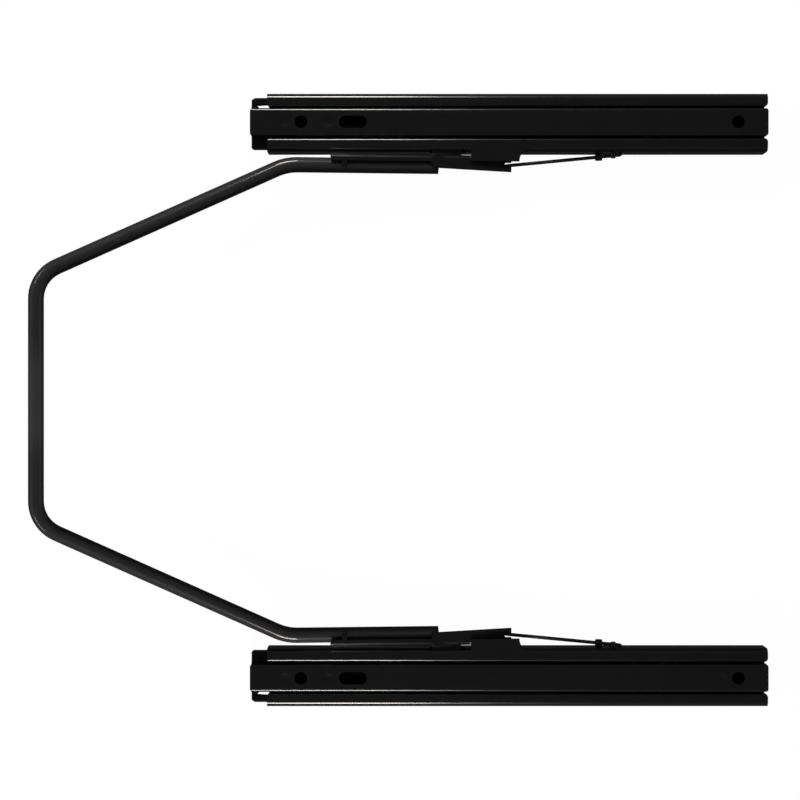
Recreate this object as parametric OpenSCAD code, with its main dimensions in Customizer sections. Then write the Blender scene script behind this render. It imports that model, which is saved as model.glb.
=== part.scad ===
// Pair of seat slide rails joined by one release bar, in millimetres.
// X runs along the rails with the release bar at minus X, Y runs across and Z is up.
// The origin is the centre of the floor bolts, on the surface that the rails stand on.

/* [Pair of rails] */
// distance between the centre lines of the two rails
rail_spacing = 397; // [320:1:460]
// length of each floor rail
floor_rail_length = 358; // [340:2:420]
// length of each seat rail
seat_rail_length = 370; // [352:2:430]
// how far the seat rail stands out past the front of the floor rail
front_overhang = 12; // [4:1:20]

/* [Rail sections] */
// thickness of the sheet steel of both rails
sheet = 1.8; // [1.6:0.1:2.0]
// width of the floor rail over its side walls
floor_rail_width = 41.5; // [40.5:0.5:46]
// height of the floor rail
floor_rail_height = 24; // [23.5:0.5:27]
// width of the top of the seat rail
seat_rail_width = 20; // [19:0.5:20.5]
// height of the top of the seat rail
seat_rail_top = 26; // [25.5:0.5:32]

/* [Rolling parts] */
// diameter of the balls that hold the seat rail down
ball_diameter = 4.5; // [4.2:0.1:4.7]
// diameter of the rollers that carry the seat rail
roller_diameter = 6.2; // [5.8:0.1:6.4]
// length of each roller
roller_length = 5; // [4:0.5:5.5]
// distance from the middle of the rail to each set of rolling parts
bearing_offset = 100; // [90:1:110]

/* [Holes and dimples] */
// diameter of the bolt holes in both rails
bolt_hole = 9; // [8:0.5:10.5]
// distance between the floor bolts along the rail
floor_bolt_spacing = 280; // [270:2:284]
// distance from the front end of the seat rail to its front bolt hole
seat_hole_front = 36.5; // [34:0.5:40]
// distance between the seat bolts along the rail
seat_bolt_spacing = 312; // [296:2:314]
// distance from the front end of the seat rail to the middle of its slot
slot_front = 73.6; // [70:0.2:84]
// length of the slot over its round ends
slot_length = 20; // [14:0.5:24]
// diameter of each pressed dimple
dimple_diameter = 9; // [7:0.5:10]
// depth of each pressed dimple
dimple_depth = 0.6; // [0.6:0.1:1.4]

/* [Lock] */
// distance from one lock position to the next
lock_pitch = 8; // [7:0.5:8]
// number of lock positions on each side of the middle
lock_steps = 10; // [6:1:10]
// width of each lock tooth along the rail
tooth_width = 3; // [2.2:0.1:3.2]
// angle that the release bar is lifted by to clear the lock
release_angle = 5.3; // [5.2:0.1:5.8]

/* [Release bar] */
// diameter of the release bar
bar_diameter = 11; // [9:0.5:12]
// wall thickness of the release bar
bar_wall = 1.5; // [1:0.25:2.5]
// distance from the floor bolt centre to the front of the release bar
bar_reach = 346; // [320:0.5:380]
// length of the front grip of the bar between the corner points
grip_length = 173.4; // [140:0.2:220]
// how far the grip stands above the ends of the bar when it is locked
bar_rise = 11; // [0:0.5:30]
// bend radius of the two grip corners
corner_radius = 25; // [16:1:30]
// bend radius where the legs turn in
leg_bend_radius = 36; // [24:1:44]

/* [Spring and stops] */
// diameter of the return spring wire
spring_wire = 2.5; // [2:0.1:2.6]
// outside diameter of the rubber stop
stop_diameter = 10; // [8:0.5:12]

/* [Hidden] */
$fn = 48;
eps = 0.01;
// clearances
roll_gap = 0.1;
ball_side_gap = 0.3;
rim_gap = 0.6;
skirt_gap = 1.1;
lever_gap = 2.2;
pivot_clearance = 0.06;
tooth_gap = 0.2;
weld_gap = 0.05;
// the straight runs of bent rods reach this far into the bends, which are this much thicker
bend_lap = 0.2;
bend_swell = 0.03;

// floor rail section, measured from the rail centre line
half_floor = floor_rail_width / 2;
wall_in = half_floor - sheet;
bottom_bend = 4;
top_bend = 4;
lip_bend = sheet + 0.3;
floor_x = floor_rail_length / 2;
lip_corner_r = 3;

// seat rail section
half_seat = seat_rail_width / 2;
web_bend = sheet + 0.3;
rim_out = wall_in - rim_gap;
rim_in = rim_out - sheet;
trough_bend = 1;
wing_bend = trough_bend + sheet;
web_corner_r = 2.2;
wing_corner_r = 2.6;
seat_front = -floor_x - front_overhang;
seat_rear = seat_front + seat_rail_length;

// rolling parts
ball_r = ball_diameter / 2;
roller_r = roller_diameter / 2;
roller_z = sheet + roll_gap + roller_r;
wing_bottom = roller_z + roller_r + roll_gap;
wing_top = wing_bottom + sheet;
ball_v = half_seat + ball_side_gap + ball_r;
ball_z = wing_top + roll_gap + ball_r;
skirt_bottom = ball_z + ball_r + roll_gap;
skirt_in = half_seat + skirt_gap;
ball_pitch = 12;
roller_pitch = 14;
roller_v = half_seat + 1.2;

// lock
comb_x = -51;
comb_t = 1.8;
comb_teeth = 3;
rim_top = skirt_bottom + 2.3;
comb_z = rim_top - 1.9;
notch_floor = comb_z - tooth_gap;
notch_width = lock_pitch - 3.4;
travel = lock_pitch * lock_steps;
comb_length = lock_pitch * (comb_teeth - 1) + tooth_width + 2;
window_front = comb_x - comb_length / 2 - 1.5;
window_rear = comb_x + comb_length / 2 + 3.5;

// lever, in its locked position
lever_t = 2.2;
lever_bend = 3;
lever_in = half_floor + lever_gap;
lever_out = lever_in + lever_t;
flange_under = floor_rail_height - sheet - 4.3;
flange_top = flange_under + lever_t;
pivot_x = -17.4;
pivot_z = flange_under - 4.6;
pivot_r = 3;
rivet_head_r = 4.2;
washer_t = lever_gap - 2 * weld_gap;
arm_x = -133.9;
arm_edge = lever_out + 2.8;
hook_x = -126.3;
hook_width = 3.6;
hook_tip = 1.1;
plate_x = -62.4;
plate_edge_front = 32.5;
plate_edge_rear = 35;
tail_x = -4.6;

// release bar, in its locked position
bar_r = bar_diameter / 2;
bar_v = lever_out + bar_r;
bar_y = rail_spacing / 2 - bar_v;
bar_z = flange_under - bar_r;
bar_end_x = -56.7;
leg_x = -165.6;

// stop tab on the floor rail, over the lever
tab_front = -33.1;
tab_rear = 1.5;
tab_edge = half_floor + 7.3;
tab_fillet = 9;

// return spring
wire_r = spring_wire / 2;
spring_tip = [-14, -(lever_out + 5.7), flange_under - 0.85 - wire_r];
spring_foot = [75.5, -(half_floor + wire_r + 0.15), flange_under - 2.45 - wire_r];
spring_in = [75.5, -(wall_in + 0.1), flange_under - 2.45 - wire_r];
spring_bend = 2.5;
peg_r = 2.6;
peg_spigot_r = 1.5;
peg_x = 59.4;
end_peg_r = 1.8;
end_peg_spigot_r = 1.2;
end_peg_x = 69;

// travel stops
stop_r = stop_diameter / 2;
stop_stud_r = 2.5;
stop_pin_r = 2.5;
stop_pin_x = travel + stop_r + stop_pin_r + 0.5;
stop_pin_z = rim_top + 1.5;
stop_top = stop_pin_z + 2.5;

// places a right-hand piece on the right rail, or its mirror image on the left rail
module on_side(right) {
  mirror([0, right ? 0 : 1, 0])
    translate([0, rail_spacing / 2, 0])
      children();
}

// turns the lever pieces from the locked position to the released one
module released() {
  translate([pivot_x, 0, pivot_z])
    rotate([0, release_angle, 0])
      translate([-pivot_x, 0, -pivot_z])
        children();
}

// runs a section drawn in Y and Z along X
module along_x(x0, x1) {
  translate([x0, 0, 0])
    rotate([90, 0, 90])
      linear_extrude(height = x1 - x0)
        children();
}

// raises an outline drawn in X and Z by a thickness along Y
module along_y(y0, y1) {
  translate([0, y1, 0])
    rotate([90, 0, 0])
      linear_extrude(height = y1 - y0)
        children();
}

// quarter of a bent sheet: centre, outside radius, thickness and the turn of the quarter
module bend(y, z, radius, thick, turn) {
  translate([y, z])
    rotate(turn)
      intersection() {
        difference() {
          circle(r = radius);
          circle(r = radius - thick);
        }
        square(radius + 1);
      }
}

// flat outline between two corners
module flat(a, b) {
  translate(a)
    square(b - a);
}

// flat outline with round corners
module round_flat(a, b, r) {
  flat([a[0] + r, a[1]], [b[0] - r, b[1]]);
  flat([a[0], a[1] + r], [b[0], b[1] - r]);
  for (x = [a[0] + r, b[0] - r])
    for (y = [a[1] + r, b[1] - r])
      translate([x, y])
        circle(r = r);
}

// round bar from one point to another
function unit(v) = v / norm(v);
module rod(a, b, r) {
  d = unit(b - a);
  side = abs(d[1]) < 0.9 ? unit(cross([0, 1, 0], d)) : unit(cross([1, 0, 0], d));
  up = cross(d, side);
  multmatrix([
    [side[0], up[0], d[0], a[0]],
    [side[1], up[1], d[1], a[1]],
    [side[2], up[2], d[2], a[2]],
    [0, 0, 0, 1]
  ])
    cylinder(r = r, h = norm(b - a));
}

// round bar bent from direction d to direction e, starting at point a
module elbow(a, d, e, bend_r, r) {
  n = unit(e - (e * d) * d);
  c = a + bend_r * n;
  z = cross(-n, d);
  multmatrix([
    [-n[0], d[0], z[0], c[0]],
    [-n[1], d[1], z[1], c[1]],
    [-n[2], d[2], z[2], c[2]],
    [0, 0, 0, 1]
  ])
    rotate_extrude(angle = acos(d * e))
      translate([bend_r, 0])
        circle(r = r + bend_swell);
}

// length that a bend takes up on each side of its corner
function bend_length(d, e, bend_r) = bend_r * tan(acos(d * e) / 2);

// floor rail

module floor_half_section() {
  flat([-eps, 0], [half_floor - bottom_bend + eps, sheet]);
  bend(half_floor - bottom_bend, bottom_bend, bottom_bend, sheet, -90);
  flat([wall_in, bottom_bend - eps], [half_floor, floor_rail_height - top_bend + eps]);
  bend(half_floor - top_bend, floor_rail_height - top_bend, top_bend, sheet, 0);
  flat([skirt_in + lip_bend - eps, floor_rail_height - sheet], [half_floor - top_bend + eps, floor_rail_height]);
  bend(skirt_in + lip_bend, floor_rail_height - lip_bend, lip_bend, sheet, 90);
  flat([skirt_in, skirt_bottom], [skirt_in + sheet, floor_rail_height - lip_bend + eps]);
}

// cuts a round corner into the end of a rail, from a height up
module end_corner(x, y, z, r, turn) {
  translate([x, y, z])
    rotate([0, 0, turn])
      difference() {
        translate([-1, -1, 0])
          cube([r + 1, r + 1, floor_rail_height]);
        translate([r, r, -1])
          cylinder(r = r, h = floor_rail_height + 2);
      }
}

module stop_tab() {
  z = floor_rail_height - sheet;
  inner = half_floor - top_bend;
  translate([tab_front, -(tab_edge - sheet / 2), z])
    cube([tab_rear - tab_front, tab_edge - sheet / 2 - inner, sheet]);
  translate([tab_front, -(tab_edge - sheet / 2), z + sheet / 2])
    rotate([0, 90, 0])
      cylinder(r = sheet / 2, h = tab_rear - tab_front);
  translate([tab_rear - eps, -half_floor - tab_fillet + 2, z])
    difference() {
      cube([tab_fillet, tab_fillet + 2, sheet]);
      translate([tab_fillet, 0, -1])
        cylinder(r = tab_fillet, h = sheet + 2);
    }
}

module floor_rail() {
  difference() {
    union() {
      along_x(-floor_x, floor_x) {
        floor_half_section();
        mirror([1, 0])
          floor_half_section();
      }
      stop_tab();
    }
    for (x = [-floor_bolt_spacing / 2, floor_bolt_spacing / 2])
      translate([x, 0, -1])
        cylinder(r = bolt_hole / 2, h = sheet + 2);
    translate([0, 0, -1])
      cylinder(r = stop_stud_r, h = sheet + 2);
    along_y(-half_floor - 1, -half_floor + top_bend + 1)
      round_flat([window_front, comb_z - 1.8], [window_rear, floor_rail_height - 1], 2);
    translate([pivot_x, -wall_in + 1, pivot_z])
      rotate([90, 0, 0])
        cylinder(r = pivot_r, h = sheet + 2);
    translate([peg_x, -wall_in + 1, peg_height()])
      rotate([90, 0, 0])
        cylinder(r = peg_spigot_r, h = sheet + 2);
    translate([end_peg_x, -wall_in + 1, end_peg_height()])
      rotate([90, 0, 0])
        cylinder(r = end_peg_spigot_r, h = sheet + 2);
    translate([spring_in[0], -wall_in + 1, spring_in[2]])
      rotate([90, 0, 0])
        cylinder(r = wire_r + 0.1, h = sheet + 2);
    end_corner(-floor_x, skirt_in, skirt_bottom - 1, lip_corner_r, 0);
    end_corner(floor_x, skirt_in, skirt_bottom - 1, lip_corner_r, 90);
    end_corner(floor_x, -skirt_in, skirt_bottom - 1, lip_corner_r, 180);
    end_corner(-floor_x, -skirt_in, skirt_bottom - 1, lip_corner_r, 270);
  }
}

// seat rail

module seat_half_section() {
  flat([-eps, seat_rail_top - sheet], [half_seat - web_bend + eps, seat_rail_top]);
  bend(half_seat - web_bend, seat_rail_top - web_bend, web_bend, sheet, 0);
  flat([half_seat - sheet, wing_bottom + wing_bend - eps], [half_seat, seat_rail_top - web_bend + eps]);
  bend(half_seat + trough_bend, wing_bottom + wing_bend, wing_bend, sheet, 180);
  flat([half_seat + trough_bend - eps, wing_bottom], [rim_out - wing_bend + eps, wing_top]);
  bend(rim_out - wing_bend, wing_bottom + wing_bend, wing_bend, sheet, -90);
  flat([rim_in, wing_bottom + wing_bend - eps], [rim_out, rim_top]);
}

dimple_r = (pow(dimple_diameter / 2, 2) + pow(dimple_depth, 2)) / (2 * dimple_depth);

// the sheet pushed down under a dimple
module dimple_under(x) {
  intersection() {
    translate([x, 0, seat_rail_top + dimple_r - dimple_depth])
      sphere(r = dimple_r + sheet);
    translate([x - 8, -half_seat + sheet, seat_rail_top - 6])
      cube([16, 2 * (half_seat - sheet), 6 - sheet / 2]);
  }
}

module dimple_hollow(x) {
  translate([x, 0, seat_rail_top + dimple_r - dimple_depth])
    sphere(r = dimple_r);
}

module seat_rail() {
  front_hole = seat_front + seat_hole_front;
  slot = seat_front + slot_front;
  slot_half = slot_length / 2 - bolt_hole / 2;
  dimples = [front_hole - 11.2, front_hole + 20, front_hole + seat_bolt_spacing - 12];
  difference() {
    union() {
      along_x(seat_front, seat_rear) {
        seat_half_section();
        mirror([1, 0])
          seat_half_section();
      }
      for (x = dimples)
        dimple_under(x);
    }
    for (x = dimples)
      dimple_hollow(x);
    for (x = [front_hole, front_hole + seat_bolt_spacing])
      translate([x, 0, seat_rail_top - sheet - 1])
        cylinder(r = bolt_hole / 2, h = sheet + 2);
    for (x = [slot - slot_half, slot + slot_half])
      translate([x, 0, seat_rail_top - sheet - 1])
        cylinder(r = bolt_hole / 2, h = sheet + 2);
    translate([slot - slot_half, -bolt_hole / 2, seat_rail_top - sheet - 1])
      cube([2 * slot_half, bolt_hole, sheet + 2]);
    for (k = [-lock_steps - 1 : lock_steps + 1])
      translate([comb_x + k * lock_pitch - notch_width / 2, -rim_out - 1, notch_floor])
        cube([notch_width, sheet + 2, rim_top - notch_floor + 1]);
    for (x = [-stop_pin_x, stop_pin_x])
      translate([x, half_seat + 1, stop_pin_z])
        rotate([90, 0, 0])
          cylinder(r = stop_pin_r, h = 2 * half_seat + 2);
    translate([seat_front, half_seat, wing_bottom - 1])
      linear_extrude(height = sheet + 2)
        polygon([[4, 3.8], [13, 4.4], [13, 1.3], [6.4, 1.3]]);
    end_corner(seat_front, -half_seat, wing_top + 1, web_corner_r, 0);
    end_corner(seat_rear, -half_seat, wing_top + 1, web_corner_r, 90);
    end_corner(seat_rear, half_seat, wing_top + 1, web_corner_r, 180);
    end_corner(seat_front, half_seat, wing_top + 1, web_corner_r, 270);
    end_corner(seat_front, -rim_out, wing_bottom - 1, wing_corner_r, 0);
    end_corner(seat_rear, -rim_out, wing_bottom - 1, wing_corner_r, 90);
    end_corner(seat_rear, rim_out, wing_bottom - 1, wing_corner_r, 180);
    end_corner(seat_front, rim_out, wing_bottom - 1, wing_corner_r, 270);
    translate([seat_front - 1, rim_in - 1, rim_top - 3])
      cube([3.5, sheet + 2, 4]);
  }
}

module stop_pins() {
  for (x = [-stop_pin_x, stop_pin_x])
    translate([x, half_seat, stop_pin_z])
      rotate([90, 0, 0])
        cylinder(r = stop_pin_r, h = 2 * half_seat);
}

// rolling parts

module balls() {
  for (x = [-bearing_offset, bearing_offset])
    for (k = [-1, 0, 1])
      for (v = [-ball_v, ball_v])
        translate([x + k * ball_pitch, v, ball_z])
          sphere(r = ball_r);
}

// strip beside three balls, with blocks that keep them apart
module ball_cage() {
  inner = half_seat + ball_side_gap;
  strip_in = ball_v + ball_r + 0.1;
  outer = rim_in - 0.25;
  length = 2 * ball_pitch + ball_diameter + 5;
  low = wing_top + 0.5;
  difference() {
    translate([-length / 2, inner, low])
      cube([length, outer - inner, skirt_bottom - 0.4 - low]);
    for (k = [-1, 0, 1])
      translate([k * ball_pitch, ball_v, 0])
        cylinder(r = ball_r + 0.1, h = 40);
    for (k = [-1, 0, 1])
      translate([k * ball_pitch - ball_r - 0.1, inner - 1, low - 1])
        cube([ball_diameter + 0.2, ball_v - inner + 1, 10]);
  }
}

module ball_cages() {
  for (x = [-bearing_offset, bearing_offset])
    for (m = [0, 1])
      mirror([0, m, 0])
        translate([x, 0, 0])
          ball_cage();
}

module rollers() {
  for (x = [-bearing_offset, bearing_offset])
    for (k = [-0.5, 0.5])
      for (m = [0, 1])
        mirror([0, m, 0])
          translate([x + k * roller_pitch, roller_v, roller_z])
            rotate([-90, 0, 0])
              cylinder(r = roller_r, h = roller_length);
}

module roller_cage() {
  length = roller_pitch + roller_diameter + 6;
  difference() {
    translate([-length / 2, half_seat + 0.4, roller_z - 1.5])
      cube([length, roller_length + 2, 3]);
    for (k = [-0.5, 0.5])
      translate([k * roller_pitch - roller_r - 0.2, roller_v - 0.1, 0])
        cube([roller_diameter + 0.4, roller_length + 0.2, 20]);
  }
}

module roller_cages() {
  for (x = [-bearing_offset, bearing_offset])
    for (m = [0, 1])
      mirror([0, m, 0])
        translate([x, 0, 0])
          roller_cage();
}

// travel stops on the floor rail

module stop_stud() {
  cylinder(r = stop_stud_r, h = stop_top);
  translate([0, 0, stop_top - eps])
    cylinder(r = stop_stud_r + 1.6, h = 1.6);
}

module stop_bumper() {
  difference() {
    translate([0, 0, sheet])
      cylinder(r = stop_r, h = stop_top - sheet - weld_gap);
    translate([0, 0, sheet - 1])
      cylinder(r = stop_stud_r + 0.02, h = stop_top);
  }
}

// release lever, drawn locked

module lever_plan() {
  inner = lever_in + lever_bend - eps;
  difference() {
    union() {
      flat([arm_x, inner], [plate_x + 6, arm_edge]);
      polygon([
        [plate_x + 5, inner],
        [plate_x + 5, plate_edge_front],
        [tail_x, plate_edge_rear],
        [tail_x, inner]
      ]);
      translate([plate_x + 5, plate_edge_front - 5])
        circle(r = 5);
      flat([hook_x, inner], [hook_x + hook_width, bar_v]);
    }
    flat([tail_x - 3.4, lever_out + 3.2], [tail_x + 1, lever_out + 6.4]);
    translate([tail_x - 3.4, lever_out + 4.8])
      circle(r = 1.6);
  }
}

module lever_side() {
  difference() {
    union() {
      round_flat([arm_x, flange_under - 9.5], [plate_x + 8, flange_top - lever_bend], 2);
      flat([arm_x + 4, flange_top - lever_bend - 3], [tail_x, flange_top - lever_bend + eps]);
      flat([arm_x, flange_top - lever_bend - 3], [arm_x + 6, flange_top - lever_bend + eps]);
      round_flat([plate_x, flange_under - 12], [tail_x, flange_top - lever_bend], 3);
      flat([tail_x - 4, flange_top - lever_bend - 4], [tail_x, flange_top - lever_bend + eps]);
    }
    translate([pivot_x, pivot_z])
      circle(r = pivot_r + pivot_clearance);
  }
}

module lever() {
  released() {
    along_y(-lever_out, -lever_in)
      lever_side();
    along_x(arm_x, tail_x)
      mirror([1, 0])
        bend(lever_in + lever_bend, flange_top - lever_bend, lever_bend, lever_t, 90);
    translate([0, 0, flange_under])
      mirror([0, 1, 0])
        linear_extrude(height = lever_t)
          lever_plan();
    along_x(hook_x, hook_x + hook_width)
      mirror([1, 0])
        translate([bar_v, bar_z])
          intersection() {
            difference() {
              circle(r = bar_r + lever_t);
              circle(r = bar_r + eps);
            }
            flat([-eps, 0], [hook_tip, bar_r + lever_t + 1]);
          }
  }
}

module lock_comb() {
  released() {
    translate([comb_x - comb_length / 2, -lever_in, comb_z])
      cube([comb_length, lever_in - wall_in + 0.2, comb_t]);
    for (k = [-1, 0, 1])
      translate([comb_x + k * lock_pitch - tooth_width / 2, -wall_in - eps, comb_z])
        cube([tooth_width, wall_in - rim_in + 0.4, comb_t]);
  }
}

module pivot_rivet() {
  translate([pivot_x, -wall_in - 0.1, pivot_z])
    rotate([90, 0, 0]) {
      cylinder(r = pivot_r, h = lever_out - wall_in);
      translate([0, 0, lever_out - wall_in - eps])
        cylinder(r = rivet_head_r, h = 2);
    }
}

module pivot_washer() {
  translate([pivot_x, -half_floor - weld_gap, pivot_z])
    rotate([90, 0, 0])
      difference() {
        cylinder(r = 5.4, h = washer_t);
        translate([0, 0, -1])
          cylinder(r = pivot_r + pivot_clearance, h = washer_t + 2);
      }
}

// return spring and its pegs

function spring_at(x) = spring_tip + (spring_foot - spring_tip) * (x - spring_tip[0]) / (spring_foot[0] - spring_tip[0]);
function peg_height() = spring_at(peg_x)[2] - wire_r - peg_r - weld_gap;
function end_peg_height() = spring_at(end_peg_x)[2] + wire_r + end_peg_r + weld_gap;

module return_spring() {
  d = unit(spring_foot - spring_tip);
  e = unit(spring_in - spring_foot);
  cut = bend_length(d, e, spring_bend);
  rod(spring_tip, spring_foot - (cut - bend_lap) * d, wire_r);
  elbow(spring_foot - cut * d, d, e, spring_bend, wire_r);
  rod(spring_foot + (cut - bend_lap) * e, spring_in, wire_r);
}

module wall_peg(x, z, r, spigot_r, length) {
  translate([x, -half_floor, z])
    rotate([90, 0, 0]) {
      translate([0, 0, -sheet + 0.1])
        cylinder(r = spigot_r, h = sheet);
      cylinder(r = r, h = length);
    }
}

module spring_peg() {
  wall_peg(peg_x, peg_height(), peg_r, peg_spigot_r, 5);
}

module spring_end_peg() {
  wall_peg(end_peg_x, end_peg_height(), end_peg_r, end_peg_spigot_r, 4.2);
}

// release bar, one bent tube across both rails

module bar_run(r) {
  p0 = [bar_end_x, bar_y, bar_z];
  p1 = [leg_x, bar_y, bar_z];
  p2 = [-bar_reach + bar_r, grip_length / 2, bar_z + bar_rise];
  d = unit(p1 - p0);
  e = unit(p2 - p1);
  f = [0, -1, 0];
  cut1 = bend_length(d, e, leg_bend_radius);
  cut2 = bend_length(e, f, corner_radius);
  for (m = [0, 1])
    mirror([0, m, 0]) {
      rod(p0, p1 - (cut1 - bend_lap) * d, r);
      elbow(p1 - cut1 * d, d, e, leg_bend_radius, r);
      rod(p1 + (cut1 - bend_lap) * e, p2 - (cut2 - bend_lap) * e, r);
      elbow(p2 - cut2 * e, e, f, corner_radius, r);
    }
  rod(p2 + (cut2 - bend_lap) * f, [p2[0], -p2[1], p2[2]] - (cut2 - bend_lap) * f, r);
}

module tube() {
  released()
    difference() {
      bar_run(bar_r);
      bar_run(bar_r - bar_wall);
    }
}

// one module for each piece

paint = [0.05, 0.05, 0.055];
steel = [0.62, 0.63, 0.65];
phosphate = [0.16, 0.16, 0.17];
nylon = [0.82, 0.8, 0.74];
rubber = [0.1, 0.1, 0.1];

module lower_rail_right() {
  color(paint) on_side(true) floor_rail();
}
module lower_rail_left() {
  color(paint) on_side(false) floor_rail();
}
module upper_rail_right() {
  color(paint) on_side(true) seat_rail();
}
module upper_rail_left() {
  color(paint) on_side(false) seat_rail();
}
module balls_right() {
  color(steel) on_side(true) balls();
}
module balls_left() {
  color(steel) on_side(false) balls();
}
module ball_cages_right() {
  color(nylon) on_side(true) ball_cages();
}
module ball_cages_left() {
  color(nylon) on_side(false) ball_cages();
}
module rollers_right() {
  color(steel) on_side(true) rollers();
}
module rollers_left() {
  color(steel) on_side(false) rollers();
}
module roller_cages_right() {
  color(nylon) on_side(true) roller_cages();
}
module roller_cages_left() {
  color(nylon) on_side(false) roller_cages();
}
module stop_pins_right() {
  color(phosphate) on_side(true) stop_pins();
}
module stop_pins_left() {
  color(phosphate) on_side(false) stop_pins();
}
module stop_bumper_right() {
  color(rubber) on_side(true) stop_bumper();
}
module stop_bumper_left() {
  color(rubber) on_side(false) stop_bumper();
}
module stop_stud_right() {
  color(phosphate) on_side(true) stop_stud();
}
module stop_stud_left() {
  color(phosphate) on_side(false) stop_stud();
}
module release_lever_right() {
  color(paint) on_side(true) lever();
}
module release_lever_left() {
  color(paint) on_side(false) lever();
}
module lock_comb_right() {
  color(phosphate) on_side(true) lock_comb();
}
module lock_comb_left() {
  color(phosphate) on_side(false) lock_comb();
}
module pivot_rivet_right() {
  color(phosphate) on_side(true) pivot_rivet();
}
module pivot_rivet_left() {
  color(phosphate) on_side(false) pivot_rivet();
}
module pivot_washer_right() {
  color(nylon) on_side(true) pivot_washer();
}
module pivot_washer_left() {
  color(nylon) on_side(false) pivot_washer();
}
module return_spring_right() {
  color(paint) on_side(true) return_spring();
}
module return_spring_left() {
  color(paint) on_side(false) return_spring();
}
module spring_peg_right() {
  color(paint) on_side(true) spring_peg();
}
module spring_peg_left() {
  color(paint) on_side(false) spring_peg();
}
module spring_end_peg_right() {
  color(paint) on_side(true) spring_end_peg();
}
module spring_end_peg_left() {
  color(paint) on_side(false) spring_end_peg();
}
module release_bar() {
  color(paint) tube();
}

lower_rail_right();
lower_rail_left();
upper_rail_right();
upper_rail_left();
balls_right();
balls_left();
ball_cages_right();
ball_cages_left();
rollers_right();
rollers_left();
roller_cages_right();
roller_cages_left();
stop_pins_right();
stop_pins_left();
stop_bumper_right();
stop_bumper_left();
stop_stud_right();
stop_stud_left();
release_lever_right();
release_lever_left();
lock_comb_right();
lock_comb_left();
pivot_rivet_right();
pivot_rivet_left();
pivot_washer_right();
pivot_washer_left();
return_spring_right();
return_spring_left();
spring_peg_right();
spring_peg_left();
spring_end_peg_right();
spring_end_peg_left();
release_bar();
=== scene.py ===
"""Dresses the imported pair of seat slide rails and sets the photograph's view from above."""
import logging
import math
from dataclasses import dataclass, field
from enum import Enum
from typing import Dict, List, Sequence, Tuple

import bpy
from mathutils import Matrix, Vector


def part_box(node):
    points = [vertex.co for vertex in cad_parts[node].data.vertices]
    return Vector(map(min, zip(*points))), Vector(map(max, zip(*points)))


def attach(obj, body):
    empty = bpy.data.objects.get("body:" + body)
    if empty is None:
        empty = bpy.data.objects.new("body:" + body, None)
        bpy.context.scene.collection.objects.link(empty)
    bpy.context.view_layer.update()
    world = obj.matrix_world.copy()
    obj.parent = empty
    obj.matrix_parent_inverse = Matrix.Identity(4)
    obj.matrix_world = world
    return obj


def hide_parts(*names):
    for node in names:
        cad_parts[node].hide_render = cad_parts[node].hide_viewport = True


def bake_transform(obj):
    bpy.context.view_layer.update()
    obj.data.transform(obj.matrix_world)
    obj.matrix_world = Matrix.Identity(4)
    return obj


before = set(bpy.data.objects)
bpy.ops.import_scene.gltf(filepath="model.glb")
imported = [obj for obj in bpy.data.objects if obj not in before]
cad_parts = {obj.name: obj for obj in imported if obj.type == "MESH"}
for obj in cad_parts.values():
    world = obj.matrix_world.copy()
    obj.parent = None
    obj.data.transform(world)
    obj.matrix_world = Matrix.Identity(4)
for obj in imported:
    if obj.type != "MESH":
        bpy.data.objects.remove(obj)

log = logging.getLogger("seat_slide_rails")

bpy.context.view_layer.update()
MM = 0.001
WHITE = (1.0, 1.0, 1.0, 1.0)
DUST_COLOUR = (0.22, 0.21, 0.2, 1.0)
MIX_A, MIX_B, MIX_COLOUR = 6, 7, 2
SMOOTH_ANGLE = 40.0
WIRE_SMOOTH_ANGLE = 50.0
ROUNDED_ANGLE = 50.0
EDGE_ROUNDING = 0.25 * MM
MERGE_DISTANCE = 0.002 * MM
FLAT_ANGLE = 0.3
Colour = Tuple[float, float, float, float]
Pair = Tuple[float, float]


class Side(Enum):
    """The two rails, by the sign of Y."""

    RIGHT = 1
    LEFT = -1

    @property
    def tag(self) -> str:
        """Ending of this side's node names."""
        return self.name.lower()


class Coating(Enum):
    """Finishes, named as the record's material slots."""

    BLACK_PAINT = "black_paint"
    BAR_PAINT = "bar_paint"
    BEARING_STEEL = "bearing_steel"
    PLAIN_STEEL = "plain_steel"
    SPRING_WIRE = "spring_wire"
    NYLON = "nylon"
    STOP_RUBBER = "stop_rubber"


# Shader building


@dataclass
class Shader:
    """A node tree with short helpers for adding and joining nodes."""

    tree: bpy.types.NodeTree

    def add(self, kind: str, **values: object) -> bpy.types.Node:
        """Adds a node and sets its properties and inputs.

        Args:
            kind: the node's type name.
            values: properties by name, or inputs by name with underscores for spaces.

        Returns:
            The new node.
        """
        node = self.tree.nodes.new(kind)
        for key, value in values.items():
            if hasattr(node, key):
                setattr(node, key, value)
            else:
                node.inputs[key.replace("_", " ")].default_value = value
        return node

    def join(self, a: bpy.types.NodeSocket, b: bpy.types.NodeSocket) -> None:
        """Joins an output to an input."""
        self.tree.links.new(a, b)

    def scaled(self, source: bpy.types.NodeSocket, low: float, high: float,
               taken: Pair = (0.0, 1.0)) -> bpy.types.NodeSocket:
        """Maps a value from one range onto another.

        Args:
            source: the value's socket.
            low: result at the start of the range taken.
            high: result at its end.
            taken: the range of the value that is used.

        Returns:
            The mapped value's socket.
        """
        ranged = self.add("ShaderNodeMapRange", clamp=True, From_Min=taken[0], From_Max=taken[1],
                          To_Min=low, To_Max=high)
        self.join(source, ranged.inputs["Value"])
        return ranged.outputs["Result"]

    def times(self, a: bpy.types.NodeSocket, b: bpy.types.NodeSocket) -> bpy.types.NodeSocket:
        """Multiplies two values.

        Args:
            a: the first value's socket.
            b: the second value's socket.

        Returns:
            The product's socket.
        """
        product = self.add("ShaderNodeMath", operation="MULTIPLY")
        self.join(a, product.inputs[0])
        self.join(b, product.inputs[1])
        return product.outputs[0]


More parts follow.
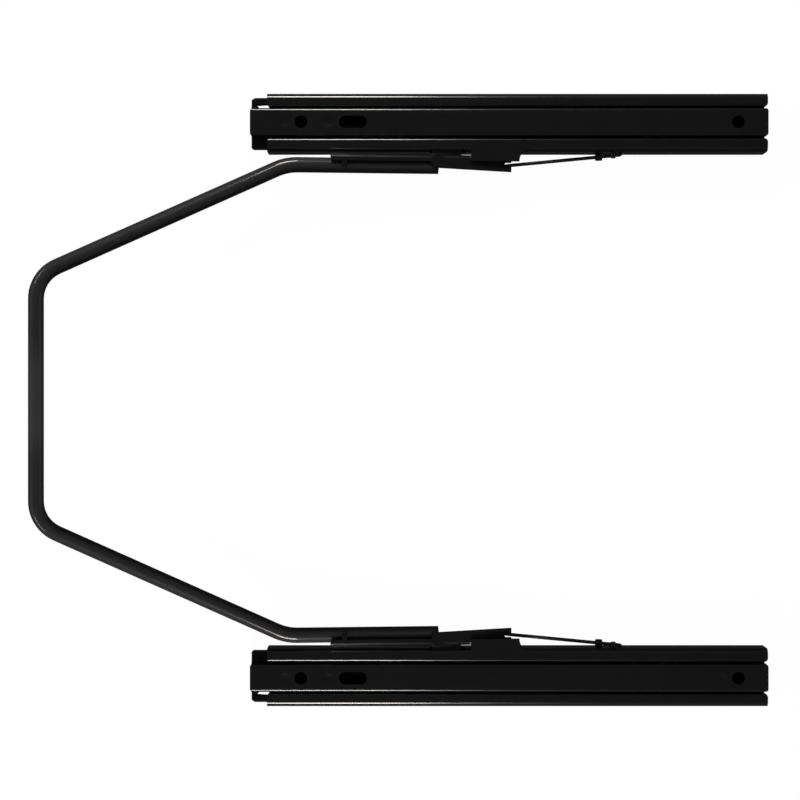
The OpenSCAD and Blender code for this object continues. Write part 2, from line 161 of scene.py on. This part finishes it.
def effect_group(name: str, inputs: Sequence[Tuple[str, float]],
                 outputs: Sequence[Tuple[str, str]]) -> Shader:
    """Makes an empty shader node group with its sockets.

    Args:
        name: the group's name.
        inputs: names and start values of its number inputs.
        outputs: names and socket types of its outputs.

    Returns:
        The group's tree with input and output nodes in it.
    """
    tree = bpy.data.node_groups.new(name, "ShaderNodeTree")
    for label, value in inputs:
        socket = tree.interface.new_socket(label, in_out="INPUT", socket_type="NodeSocketFloat")
        socket.default_value = value
    for label, kind in outputs:
        tree.interface.new_socket(label, in_out="OUTPUT", socket_type=kind)
    shader = Shader(tree)
    shader.add("NodeGroupInput", name="in")
    shader.add("NodeGroupOutput", name="out")
    return shader


def paint_skin_group() -> bpy.types.NodeTree:
    """Orange peel of sprayed paint: a fine height and a slow change of gloss.

    Returns:
        The node group.
    """
    s = effect_group("sprayed_skin", [("Peel Size", 450.0), ("Cloud Size", 30.0)],
                     [("Height", "NodeSocketFloat"), ("Cloud", "NodeSocketFloat")])
    given, out = s.tree.nodes["in"], s.tree.nodes["out"]
    place = s.add("ShaderNodeTexCoord")
    peel = s.add("ShaderNodeTexNoise", Detail=2.0, Roughness=0.5)
    cloud = s.add("ShaderNodeTexNoise", Detail=4.0, Roughness=0.6)
    for noise, size in ((peel, "Peel Size"), (cloud, "Cloud Size")):
        s.join(place.outputs["Object"], noise.inputs["Vector"])
        s.join(given.outputs[size], noise.inputs["Scale"])
    s.join(peel.outputs["Fac"], out.inputs["Height"])
    s.join(cloud.outputs["Fac"], out.inputs["Cloud"])
    return s.tree


def fine_dust_group() -> bpy.types.NodeTree:
    """Small pale specks and faint rubs, as a mask.

    Returns:
        The node group.
    """
    s = effect_group("fine_dust", [("Speck Size", 700.0), ("Amount", 0.5)], [("Mask", "NodeSocketFloat")])
    given, out = s.tree.nodes["in"], s.tree.nodes["out"]
    place = s.add("ShaderNodeTexCoord")
    specks = s.add("ShaderNodeTexVoronoi", feature="F1")
    patches = s.add("ShaderNodeTexNoise", Scale=55.0, Detail=5.0, Roughness=0.65)
    s.join(place.outputs["Object"], specks.inputs["Vector"])
    s.join(given.outputs["Speck Size"], specks.inputs["Scale"])
    s.join(place.outputs["Object"], patches.inputs["Vector"])
    dots = s.scaled(specks.outputs["Distance"], 0.0, 1.0, taken=(0.16, 0.05))
    worn = s.scaled(patches.outputs["Fac"], 0.0, 1.0, taken=(0.52, 0.75))
    s.join(s.times(s.times(dots, worn), given.outputs["Amount"]), out.inputs["Mask"])
    return s.tree


def drawn_lines_group() -> bpy.types.NodeTree:
    """Fine lines left by drawing, rolling or grinding along X.

    Returns:
        The node group.
    """
    s = effect_group("drawn_lines", [("Line Size", 900.0)], [("Lines", "NodeSocketFloat")])
    given, out = s.tree.nodes["in"], s.tree.nodes["out"]
    place = s.add("ShaderNodeTexCoord")
    stretch = s.add("ShaderNodeMapping", Scale=(0.06, 1.0, 1.0))
    noise = s.add("ShaderNodeTexNoise", Detail=3.0, Roughness=0.6)
    s.join(place.outputs["Object"], stretch.inputs["Vector"])
    s.join(stretch.outputs["Vector"], noise.inputs["Vector"])
    s.join(given.outputs["Line Size"], noise.inputs["Scale"])
    s.join(noise.outputs["Fac"], out.inputs["Lines"])
    return s.tree


@dataclass
class Effects:
    """The shared shader node groups, built once."""

    skin: bpy.types.NodeTree = field(default_factory=paint_skin_group)
    dust: bpy.types.NodeTree = field(default_factory=fine_dust_group)
    lines: bpy.types.NodeTree = field(default_factory=drawn_lines_group)


@dataclass(frozen=True)
class Finish:
    """A surface finish: two close colours, a gloss range and a fine relief."""

    coating: Coating
    dark: Colour
    pale: Colour
    rough: Tuple[float, float]
    metal: float = 0.0
    specular: float = 0.5
    coat: float = 0.0
    coat_rough: float = 0.12
    relief: float = 0.05
    relief_depth: float = 0.0002
    dust: float = 0.0
    lined: bool = False
    peel_size: float = 450.0
    cloud_size: float = 30.0

    def material(self, effects: Effects) -> bpy.types.Material:
        """Builds the finish as a node material.

        Args:
            effects: the shared node groups.

        Returns:
            The material, named for the finish.
        """
        made = bpy.data.materials.new(self.coating.value)
        made.use_nodes = True
        s = Shader(made.node_tree)
        shader = made.node_tree.nodes["Principled BSDF"]
        shader.inputs["Metallic"].default_value = self.metal
        shader.inputs["Coat Weight"].default_value = self.coat
        shader.inputs["Coat Roughness"].default_value = self.coat_rough
        shader.inputs["Specular IOR Level"].default_value = self.specular
        skin = s.add("ShaderNodeGroup", node_tree=effects.skin)
        skin.inputs["Peel Size"].default_value = self.peel_size
        skin.inputs["Cloud Size"].default_value = self.cloud_size
        blend = s.add("ShaderNodeMix", data_type="RGBA")
        blend.inputs[MIX_A].default_value = self.dark
        blend.inputs[MIX_B].default_value = self.pale
        s.join(skin.outputs["Cloud"], blend.inputs[0])
        colour = blend.outputs[MIX_COLOUR]
        if self.dust > 0:
            dust = s.add("ShaderNodeGroup", node_tree=effects.dust)
            dust.inputs["Amount"].default_value = self.dust
            dusted = s.add("ShaderNodeMix", data_type="RGBA")
            dusted.inputs[MIX_B].default_value = DUST_COLOUR
            s.join(dust.outputs["Mask"], dusted.inputs[0])
            s.join(colour, dusted.inputs[MIX_A])
            colour = dusted.outputs[MIX_COLOUR]
        s.join(colour, shader.inputs["Base Color"])
        gloss = skin.outputs["Cloud"]
        height = skin.outputs["Height"]
        if self.lined:
            lines = s.add("ShaderNodeGroup", node_tree=effects.lines)
            gloss = height = lines.outputs["Lines"]
        s.join(s.scaled(gloss, *self.rough), shader.inputs["Roughness"])
        bump = s.add("ShaderNodeBump", Strength=self.relief, Distance=self.relief_depth)
        s.join(height, bump.inputs["Height"])
        s.join(bump.outputs["Normal"], shader.inputs["Normal"])
        return made


FINISHES: Tuple[Finish, ...] = (
    Finish(Coating.BLACK_PAINT, (0.0095, 0.0093, 0.01, 1.0), (0.0145, 0.014, 0.0148, 1.0), (0.15, 0.22),
           coat=0.2, relief=0.008, dust=0.12),
    Finish(Coating.BAR_PAINT, (0.034, 0.0335, 0.0355, 1.0), (0.043, 0.0425, 0.0445, 1.0), (0.34, 0.42),
           specular=0.1, coat=0.45, coat_rough=0.07, relief=0.01, dust=0.12),
    Finish(Coating.BEARING_STEEL, (0.56, 0.57, 0.58, 1.0), (0.68, 0.68, 0.69, 1.0), (0.14, 0.26), metal=1.0,
           relief=0.03),
    Finish(Coating.PLAIN_STEEL, (0.07, 0.07, 0.072, 1.0), (0.13, 0.13, 0.13, 1.0), (0.34, 0.5), metal=1.0,
           lined=True),
    Finish(Coating.SPRING_WIRE, (0.06, 0.06, 0.062, 1.0), (0.12, 0.12, 0.12, 1.0), (0.18, 0.32), metal=0.85,
           lined=True),
    Finish(Coating.NYLON, (0.66, 0.64, 0.58, 1.0), (0.76, 0.74, 0.69, 1.0), (0.38, 0.55), relief=0.1),
    Finish(Coating.STOP_RUBBER, (0.014, 0.014, 0.014, 1.0), (0.026, 0.025, 0.025, 1.0), (0.65, 0.85),
           relief=0.2, dust=0.5),
)


# Mesh work


def only(obj: bpy.types.Object) -> bpy.types.Object:
    """Selects one object alone and makes it active.

    Args:
        obj: the object to work on.

    Returns:
        The same object.
    """
    if bpy.context.object and bpy.context.object.mode != "OBJECT":
        bpy.ops.object.mode_set(mode="OBJECT")
    bpy.ops.object.select_all(action="DESELECT")
    obj.select_set(True)
    bpy.context.view_layer.objects.active = obj
    return obj


def settle(obj: bpy.types.Object) -> bpy.types.Object:
    """Puts an object's place into its mesh.

    Args:
        obj: the object to settle.

    Returns:
        The same object, at the origin, unturned and unscaled.
    """
    only(obj)
    bpy.ops.object.transform_apply(location=True, rotation=True, scale=True)
    return obj


def soft_edges(obj: bpy.types.Object, width: float, angle: float) -> bpy.types.Object:
    """Rounds the sharp edges of a mesh a little and smooths its bends.

    Args:
        obj: the mesh object.
        width: width of the rounding.
        angle: smallest angle between faces that is rounded, in degrees.

    Returns:
        The same object.
    """
    only(obj)
    rounding = obj.modifiers.new("edge_rounding", "BEVEL")
    rounding.width = width
    rounding.segments = 2
    rounding.limit_method = "ANGLE"
    rounding.angle_limit = math.radians(angle)
    rounding.use_clamp_overlap = True
    bpy.ops.object.modifier_apply(modifier=rounding.name)
    bpy.ops.object.shade_smooth_by_angle(angle=math.radians(SMOOTH_ANGLE))
    weighting = obj.modifiers.new("flat_faces_first", "WEIGHTED_NORMAL")
    weighting.keep_sharp = True
    bpy.ops.object.modifier_apply(modifier=weighting.name)
    return obj


@dataclass
class Workshop:
    """The materials, and the steps that every piece goes through."""

    materials: Dict[Coating, bpy.types.Material]
    made: List[str] = field(default_factory=list)

    def dress(self, obj: bpy.types.Object, coating: Coating) -> bpy.types.Object:
        """Gives an object one finish.

        Args:
            obj: the object.
            coating: its finish.

        Returns:
            The same object.
        """
        obj.data.materials.clear()
        obj.data.materials.append(self.materials[coating])
        return obj

    def hand_over(self, obj: bpy.types.Object, name: str, body: str, coating: Coating) -> bpy.types.Object:
        """Names a finished piece, dresses it and lets it ride on a body.

        Args:
            obj: the piece.
            name: its name.
            body: the body it moves with.
            coating: its finish.

        Returns:
            The same object.
        """
        obj.name = obj.data.name = name
        self.dress(obj, coating)
        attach(obj, body)
        self.made.append(name)
        log.info("made %s on %s", name, body)
        return obj

    def rounded_copy(self, node: str, width: float = EDGE_ROUNDING) -> bpy.types.Object:
        """Copies a CAD node with its loose triangles merged and its edges rounded.

        Args:
            node: the CAD node's name.
            width: width of the edge rounding.

        Returns:
            The new object.
        """
        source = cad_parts[node]
        copy = bpy.data.objects.new(node + "_dressed", source.data.copy())
        bpy.context.scene.collection.objects.link(copy)
        only(copy)
        bpy.ops.object.mode_set(mode="EDIT")
        bpy.ops.mesh.select_all(action="SELECT")
        bpy.ops.mesh.customdata_custom_splitnormals_clear()
        bpy.ops.mesh.remove_doubles(threshold=MERGE_DISTANCE)
        bpy.ops.mesh.dissolve_limited(angle_limit=math.radians(FLAT_ANGLE))
        bpy.ops.object.mode_set(mode="OBJECT")
        return soft_edges(copy, width, ROUNDED_ANGLE)


# Sub-assemblies


@dataclass
class PaintedSteel:
    """The painted rails, levers and bar, with rounded edges in place of the CAD meshes."""

    nodes: Tuple[Tuple[str, str], ...] = (
        ("lower_rail", "floor_rails"), ("upper_rail", "seat_rail"), ("release_lever", "release_handle"),
        ("spring_peg", "floor_rails"), ("spring_end_peg", "floor_rails"),
    )

    def build(self, shop: Workshop) -> None:
        """Makes the rounded pieces for both sides and the shared bar.

        Args:
            shop: the workshop.
        """
        for side in Side:
            for stem, body in self.nodes:
                node = f"{stem}_{side.tag}"
                home = f"{body}_{side.tag}" if body == "seat_rail" else body
                self._piece(shop, node, home)
        self._piece(shop, "release_bar", "release_handle", Coating.BAR_PAINT)

    def _piece(self, shop: Workshop, node: str, body: str, coating: Coating = Coating.BLACK_PAINT) -> None:
        """Makes one rounded piece in place of its node."""
        piece = shop.rounded_copy(node)
        shop.hand_over(piece, node + "_painted", body, coating)
        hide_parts(node)


@dataclass
class ReturnSpring:
    """The straight wire spring, which bends as the lever moves."""

    tip: Vector = Vector((-14.0, 30.85, 15.8))
    foot: Vector = Vector((75.5, 22.15, 14.2))
    inside: Vector = Vector((75.5, 19.05, 14.2))
    radius: float = 1.25
    rings: int = 48
    bend_length: float = 2.4
    bend_share: float = 0.75
    bend_points: int = 8
    still_x: float = 55.0
    lever_x: float = -9.0

    def path(self, side: Side, half_spacing: float) -> List[Vector]:
        """Centre line of the wire, from its tip to its end in the rail's wall.

        Args:
            side: which rail.
            half_spacing: half the distance between the rails.

        Returns:
            Points in metres.
        """
        points = [self.tip.lerp(self.foot, k / self.rings) for k in range(self.rings - 1)]
        a = self.tip.lerp(self.foot, 1 - self.bend_length / (self.foot - self.tip).length)
        b = self.foot.lerp(self.inside, self.bend_share)
        for k in range(self.bend_points + 1):
            t = k / self.bend_points
            points.append(a * (1 - t) ** 2 + self.foot * (2 * t * (1 - t)) + b * t ** 2)
        points.append(self.inside)
        return [Vector((p.x, side.value * (half_spacing - p.y), p.z)) * MM for p in points]

    def build(self, shop: Workshop, side: Side, half_spacing: float) -> None:
        """Makes the wire between the rail and the lever.

        Args:
            shop: the workshop.
            side: which rail.
            half_spacing: half the distance between the rails.
        """
        node = f"return_spring_{side.tag}"
        points = self.path(side, half_spacing)
        curve = bpy.data.curves.new(node, "CURVE")
        curve.dimensions = "3D"
        curve.bevel_depth = self.radius * MM
        curve.bevel_resolution = 5
        curve.use_fill_caps = True
        line = curve.splines.new("POLY")
        line.points.add(len(points) - 1)
        for spot, p in zip(line.points, points):
            spot.co = (p.x, p.y, p.z, 1.0)
        wire = bpy.data.objects.new(node + "_wire", curve)
        bpy.context.scene.collection.objects.link(wire)
        only(wire)
        bpy.ops.object.convert(target="MESH")
        wire = settle(bpy.context.object)
        bpy.ops.object.shade_smooth_by_angle(angle=math.radians(WIRE_SMOOTH_ANGLE))
        wire.name = wire.data.name = node + "_wire"
        shop.dress(wire, Coating.SPRING_WIRE)
        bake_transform(wire)
        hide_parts(node)
        shop.made.append(wire.name)
        log.info("made %s", wire.name)


@dataclass
class InnerParts:
    """Balls, rollers, cages, stops and pivots, which keep their CAD shapes."""

    finishes: Tuple[Tuple[str, Coating], ...] = (
        ("balls", Coating.BEARING_STEEL), ("rollers", Coating.BEARING_STEEL), ("ball_cages", Coating.NYLON),
        ("roller_cages", Coating.NYLON), ("stop_pins", Coating.PLAIN_STEEL),
        ("stop_bumper", Coating.STOP_RUBBER), ("stop_stud", Coating.PLAIN_STEEL),
        ("lock_comb", Coating.PLAIN_STEEL),
        ("pivot_rivet", Coating.PLAIN_STEEL), ("pivot_washer", Coating.NYLON),
    )

    def dress(self, shop: Workshop) -> None:
        """Gives each inner part its finish.

        Args:
            shop: the workshop.
        """
        for side in Side:
            for stem, coating in self.finishes:
                shop.dress(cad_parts[f"{stem}_{side.tag}"], coating)
                log.info("dressed %s_%s", stem, side.tag)


# Studio


@dataclass
class Studio:
    """White floor, lamps beside the rails and the bar, and a camera above the middle."""

    frame_width: float = 0.5714
    frame_height: float = 0.024
    centre_x: float = -0.0839
    camera_height: float = 1.35
    sensor: float = 36.0
    rail_y: float = 0.1985
    strip_reach: float = 1.2
    strip_angle: float = 50.0
    strip_x: Pair = (-0.3, -0.06)
    strip_width: float = 0.36
    strip_power: float = 8.8
    fill_power: float = 5.0
    corner: Vector = Vector((-0.34, 0.09, 0.03))
    glint_way: Vector = Vector((-0.66, 0.56, 0.5))
    glint_size: Pair = (0.5, 0.08)
    glint_power: float = 2.5
    fill_place: Vector = Vector((2.0, 0.0, 0.9))
    fill_size: Pair = (3.2, 1.6)
    lamp_colour: Tuple[float, float, float] = (1.0, 0.96, 0.92)
    card_z: Pair = (0.08, 0.45)
    card_x: Pair = (-0.6, 0.4)
    card_grey: float = 0.2
    floor_size: float = 12.0
    floor_drop: float = 0.0005
    floor_glow: float = 0.98
    floor_grey: float = 0.035
    floor_mirrored: float = 0.02
    world_heights: Pair = (0.05, 0.75)
    world_levels: Pair = (0.1, 0.03)

    def seen_white(self, s: Shader, dull: bpy.types.NodeSocket, white: bpy.types.NodeSocket, glossy: float,
                   out: bpy.types.NodeSocket) -> None:
        """Shows a shader as white to the camera and partly white in reflections.

        Args:
            s: the tree to work in.
            dull: the shader that lights the object.
            white: the white shader.
            glossy: share of the white that reflections show.
            out: the surface socket to join.
        """
        path = s.add("ShaderNodeLightPath")
        straight = s.add("ShaderNodeMath", operation="MAXIMUM")
        s.join(path.outputs["Is Camera Ray"], straight.inputs[0])
        s.join(path.outputs["Is Transmission Ray"], straight.inputs[1])
        mirrored = s.add("ShaderNodeMath", operation="MULTIPLY_ADD", use_clamp=True)
        s.join(path.outputs["Is Glossy Ray"], mirrored.inputs[0])
        mirrored.inputs[1].default_value = glossy
        s.join(straight.outputs[0], mirrored.inputs[2])
        mix = s.add("ShaderNodeMixShader")
        s.join(mirrored.outputs[0], mix.inputs[0])
        s.join(dull, mix.inputs[1])
        s.join(white, mix.inputs[2])
        s.join(mix.outputs[0], out)

    def floor(self) -> None:
        """Lays the white floor, which keeps a faint shadow."""
        bpy.ops.object.select_all(action="DESELECT")
        bpy.ops.mesh.primitive_plane_add(size=self.floor_size, location=(0, 0, -self.floor_drop))
        plane = settle(bpy.context.object)
        plane.name = "studio_floor"
        made = bpy.data.materials.new("white_floor")
        made.use_nodes = True
        s = Shader(made.node_tree)
        made.node_tree.nodes.clear()
        out = s.add("ShaderNodeOutputMaterial")
        glow = s.add("ShaderNodeEmission", Strength=self.floor_glow)
        matte = s.add("ShaderNodeBsdfDiffuse")
        matte.inputs["Color"].default_value = (self.floor_grey, self.floor_grey, self.floor_grey, 1.0)
        white = s.add("ShaderNodeAddShader")
        s.join(glow.outputs[0], white.inputs[0])
        s.join(matte.outputs[0], white.inputs[1])
        self.seen_white(s, matte.outputs[0], white.outputs[0], self.floor_mirrored, out.inputs["Surface"])
        plane.data.materials.append(made)

    def world(self) -> None:
        """Sets an even world, dark overhead in reflections and white to the camera."""
        world = bpy.data.worlds.new("studio")
        bpy.context.scene.world = world
        world.use_nodes = True
        s = Shader(world.node_tree)
        world.node_tree.nodes.clear()
        out = s.add("ShaderNodeOutputWorld")
        soft = s.add("ShaderNodeBackground")
        white = s.add("ShaderNodeBackground", Strength=1.0)
        for shade in (soft, white):
            shade.inputs["Color"].default_value = WHITE
        place = s.add("ShaderNodeTexCoord")
        split = s.add("ShaderNodeSeparateXYZ")
        s.join(place.outputs["Generated"], split.inputs[0])
        level = s.scaled(split.outputs["Z"], *self.world_levels, taken=self.world_heights)
        level.node.interpolation_type = "SMOOTHSTEP"
        s.join(level, soft.inputs["Strength"])
        self.seen_white(s, soft.outputs[0], white.outputs[0], 0.0, out.inputs["Surface"])

    def lamp(self, name: str, place: Vector, aim: Vector, size: Pair, power: float) -> bpy.types.Object:
        """Hangs one rectangular soft lamp.

        Args:
            name: the lamp's name.
            place: where it hangs.
            aim: the point it faces.
            size: its length across, along X or else Y, and its height.
            power: its power in watts.

        Returns:
            The lamp.
        """
        light = bpy.data.lights.new(name, "AREA")
        light.shape = "RECTANGLE"
        light.size, light.size_y = size
        light.energy = power
        light.color = self.lamp_colour
        lamp = bpy.data.objects.new(name, light)
        bpy.context.scene.collection.objects.link(lamp)
        back = (place - aim).normalized()
        across = Vector((1.0, 0.0, 0.0)) if abs(back.x) < 0.5 else Vector((0.0, 1.0, 0.0))
        across = (across - back * across.dot(back)).normalized()
        turn = Matrix((across, back.cross(across), back)).transposed()
        lamp.matrix_world = Matrix.Translation(place) @ turn.to_4x4()
        return lamp

    def lights(self) -> None:
        """Hangs a strip light by each rail, a small lamp off each corner of the bar and two fill lamps."""
        turn = math.radians(self.strip_angle)
        x = sum(self.strip_x) / 2
        for side in Side:
            aim = Vector((x, side.value * self.rail_y, self.frame_height))
            away = Vector((0.0, side.value * math.sin(turn), math.cos(turn)))
            self.lamp(f"strip_{side.tag}", aim + away * self.strip_reach, aim,
                      (self.strip_x[1] - self.strip_x[0], self.strip_width), self.strip_power)
            mirror = Vector((1.0, side.value, 1.0))
            corner, way = self.corner * mirror, self.glint_way * mirror
            self.lamp(f"glint_{side.tag}", corner + way * self.strip_reach, corner,
                      self.glint_size, self.glint_power)
        for name, end in (("fill_front", -1.0), ("fill_rear", 1.0)):
            place = self.fill_place * Vector((end, 1.0, 1.0))
            self.lamp(name, place, Vector((0.0, 0.0, 0.0)), self.fill_size, self.fill_power)

    def card(self) -> None:
        """Stands a grey card between the rails, so that each strip light reaches its own rail alone."""
        bpy.ops.object.select_all(action="DESELECT")
        bpy.ops.mesh.primitive_plane_add(size=1.0, rotation=(math.pi / 2, 0, 0))
        card = bpy.context.object
        card.name = "studio_card"
        card.scale = (self.card_x[1] - self.card_x[0], self.card_z[1] - self.card_z[0], 1.0)
        card.location = (sum(self.card_x) / 2, 0.0, sum(self.card_z) / 2)
        settle(card)
        card.visible_camera = False
        made = bpy.data.materials.new("grey_card")
        made.use_nodes = True
        shader = made.node_tree.nodes["Principled BSDF"]
        shader.inputs["Base Color"].default_value = (self.card_grey, self.card_grey, self.card_grey, 1.0)
        shader.inputs["Roughness"].default_value = 1.0
        card.data.materials.append(made)

    def camera(self) -> None:
        """Sets the camera above the middle of the pair, looking straight down."""
        data = bpy.data.cameras.new("camera")
        data.sensor_width = self.sensor
        data.lens = self.sensor * (self.camera_height - self.frame_height) / self.frame_width
        data.clip_end = 20.0
        camera = bpy.data.objects.new("camera", data)
        bpy.context.scene.collection.objects.link(camera)
        camera.location = (self.centre_x, 0.0, self.camera_height)
        bpy.context.scene.camera = camera
        bpy.context.scene.view_settings.view_transform = "Standard"

    def build(self) -> None:
        """Sets the lights, the card, the floor, the world and the camera."""
        self.lights()
        self.card()
        self.floor()
        self.world()
        self.camera()


def main() -> None:
    """Builds the dressed rails and the studio, and reports each piece."""
    logging.basicConfig(level=logging.INFO)
    effects = Effects()
    shop = Workshop({f.coating: f.material(effects) for f in FINISHES})
    seat_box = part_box("upper_rail_right")
    half_spacing = (seat_box[0].y + seat_box[1].y) / 2 / MM
    PaintedSteel().build(shop)
    for side in Side:
        ReturnSpring().build(shop, side, half_spacing)
    InnerParts().dress(shop)
    Studio().build()
    log.info("made %d pieces", len(shop.made))


if __name__ == "__main__":
    main()
